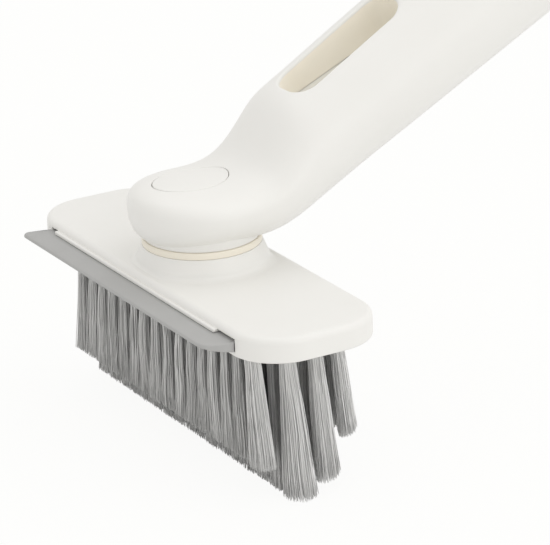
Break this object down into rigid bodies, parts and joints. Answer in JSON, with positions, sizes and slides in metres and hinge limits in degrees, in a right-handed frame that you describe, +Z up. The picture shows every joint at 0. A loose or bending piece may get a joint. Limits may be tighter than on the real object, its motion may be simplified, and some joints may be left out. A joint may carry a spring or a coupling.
{
  "type": "grout brush",
  "caption": "Hand brush for tile joints: rows of stepped bristle tufts and a side scraper on a rounded plate that swivels under an angled hollow handle with a slot.",
  "frame": {"origin": "on the swivel axis, in the plane of the longest bristle tips", "axes": "+Z up along the swivel axis, +X the way the handle leans, Y along the brush head"},
  "size_m": [0.2088, 0.13, 0.1686],
  "materials": {
    "white_plastic": "fine satin moulding",
    "cream_plastic": "satin",
    "grey_bristle": "fine drawn filament",
    "grey_rubber": "matte",
    "steel": "zinc plated",
    "brass": "drawn"
  },
  "bodies": {
    "handle": {"handle_shell": "white_plastic", "handle_cover": "white_plastic", "cover_screws": "steel", "pivot_bush": "cream_plastic", "screw_cap": "white_plastic"},
    "head": {"head_shell": "white_plastic", "blade_retainer": "white_plastic", "tuft_block": "white_plastic", "tufts_left_outer": "grey_bristle", "tufts_left_inner": "grey_bristle", "tufts_right_inner": "grey_bristle", "tufts_right_outer": "grey_bristle", "scraper_blade": "grey_rubber", "swivel_ring": "cream_plastic", "block_screws": "steel", "pivot_screw": "steel", "thrust_washer": "steel", "spring_washer": "steel", "tuft_staples": "brass", "post_insert": "brass"}
  },
  "joints": [
    {"name": "head_swivel", "type": "hinge", "parent": "handle", "child": "head", "pos_m": [0, 0, 0.049], "axis": [0, 0, 1], "range_deg": [-90, 90]}
  ]
}
